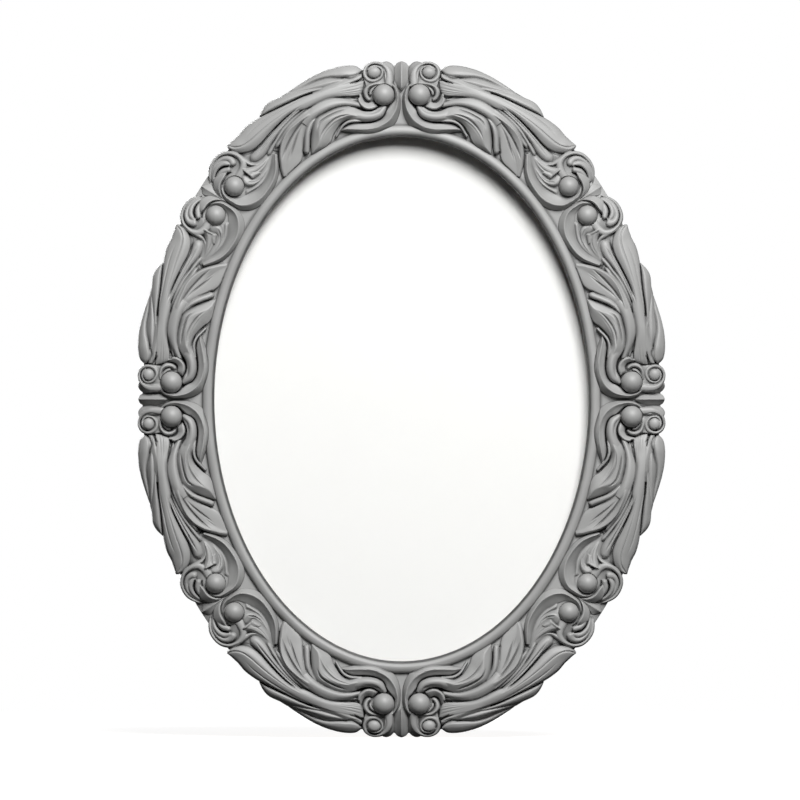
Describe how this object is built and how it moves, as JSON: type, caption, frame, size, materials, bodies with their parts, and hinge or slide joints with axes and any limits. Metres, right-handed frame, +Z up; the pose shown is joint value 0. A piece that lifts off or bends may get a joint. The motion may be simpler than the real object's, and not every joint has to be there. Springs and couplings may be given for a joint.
{
  "type": "picture frame",
  "caption": "Carved oval picture frame with mirrored acanthus scrolls and turned balls, glazed, backed and ready to hang by a ring.",
  "frame": {"origin": "centre of the whole frame's bounding box, on the axis of the oval", "axes": "+Z up the height of the oval, +X to the viewer's right, the carved face towards -Y and the wall towards +Y"},
  "size_m": [0.3518, 0.035, 0.451],
  "materials": {
    "painted_moulding": "satin grey paint on carved and shaped hardwood",
    "painted_carving": "satin grey paint on carved hardwood, darker in the recesses",
    "painted_balls": "satin grey paint on turned wood",
    "spline_wood": "planed beech",
    "picture_glass": "clear float glass",
    "white_card": "smooth matt card",
    "hardboard": "pressed hardboard",
    "brass_plate": "stamped brass",
    "brass_screws": "turned brass",
    "brass_wire": "bent brass wire",
    "grey_rubber": "matt moulded rubber"
  },
  "bodies": {
    "root": {"frame_segment_top": "painted_moulding", "frame_segment_right": "painted_moulding", "frame_segment_bottom": "painted_moulding", "frame_segment_left": "painted_moulding", "joint_splines": "spline_wood", "acanthus_top_right": "painted_carving", "acanthus_right_top": "painted_carving", "acanthus_right_bottom": "painted_carving", "acanthus_bottom_right": "painted_carving", "acanthus_bottom_left": "painted_carving", "acanthus_left_bottom": "painted_carving", "acanthus_left_top": "painted_carving", "acanthus_top_left": "painted_carving", "axis_leaf_top": "painted_carving", "axis_leaf_right": "painted_carving", "axis_leaf_bottom": "painted_carving", "axis_leaf_left": "painted_carving", "corner_leaf_top_right": "painted_carving", "corner_leaf_bottom_right": "painted_carving", "corner_leaf_bottom_left": "painted_carving", "corner_leaf_top_left": "painted_carving", "large_ball_top_right": "painted_balls", "large_ball_right_top": "painted_balls", "large_ball_right_bottom": "painted_balls", "large_ball_bottom_right": "painted_balls", "large_ball_bottom_left": "painted_balls", "large_ball_left_bottom": "painted_balls", "large_ball_left_top": "painted_balls", "large_ball_top_left": "painted_balls", "small_ball_top_right": "painted_balls", "small_ball_right_top": "painted_balls", "small_ball_right_bottom": "painted_balls", "small_ball_bottom_right": "painted_balls", "small_ball_bottom_left": "painted_balls", "small_ball_left_bottom": "painted_balls", "small_ball_left_top": "painted_balls", "small_ball_top_left": "painted_balls", "glass": "picture_glass", "picture_card": "white_card", "backing_board": "hardboard", "turn_button_screws": "brass_screws", "hanger_plate": "brass_plate", "hanger_screws": "brass_screws", "wall_bumper_left": "grey_rubber", "wall_bumper_right": "grey_rubber"},
    "turn_button_right": {"turn_button_right": "brass_plate"},
    "turn_button_top_right": {"turn_button_top_right": "brass_plate"},
    "turn_button_top_left": {"turn_button_top_left": "brass_plate"},
    "turn_button_left": {"turn_button_left": "brass_plate"},
    "turn_button_bottom_left": {"turn_button_bottom_left": "brass_plate"},
    "turn_button_bottom_right": {"turn_button_bottom_right": "brass_plate"},
    "hanging_ring": {"hanging_ring": "brass_wire"}
  },
  "joints": [
    {"name": "turn_button_right_turn", "type": "hinge", "parent": "root", "child": "turn_button_right", "pos_m": [0.137, 0.01235, 0], "axis": [0, 1, 0], "continuous": true},
    {"name": "turn_button_top_right_turn", "type": "hinge", "parent": "root", "child": "turn_button_top_right", "pos_m": [0.07004, 0.01235, 0.16089], "axis": [0, 1, 0], "continuous": true},
    {"name": "turn_button_top_left_turn", "type": "hinge", "parent": "root", "child": "turn_button_top_left", "pos_m": [-0.07004, 0.01235, 0.16089], "axis": [0, 1, 0], "continuous": true},
    {"name": "turn_button_left_turn", "type": "hinge", "parent": "root", "child": "turn_button_left", "pos_m": [-0.137, 0.01235, 0], "axis": [0, 1, 0], "continuous": true},
    {"name": "turn_button_bottom_left_turn", "type": "hinge", "parent": "root", "child": "turn_button_bottom_left", "pos_m": [-0.07004, 0.01235, -0.16089], "axis": [0, 1, 0], "continuous": true},
    {"name": "turn_button_bottom_right_turn", "type": "hinge", "parent": "root", "child": "turn_button_bottom_right", "pos_m": [0.07004, 0.01235, -0.16089], "axis": [0, 1, 0], "continuous": true},
    {"name": "hanging_ring_swing", "type": "hinge", "parent": "root", "child": "hanging_ring", "pos_m": [0, 0.01393, 0.204], "axis": [1, 0, 0], "range_deg": [0, 180]}
  ]
}
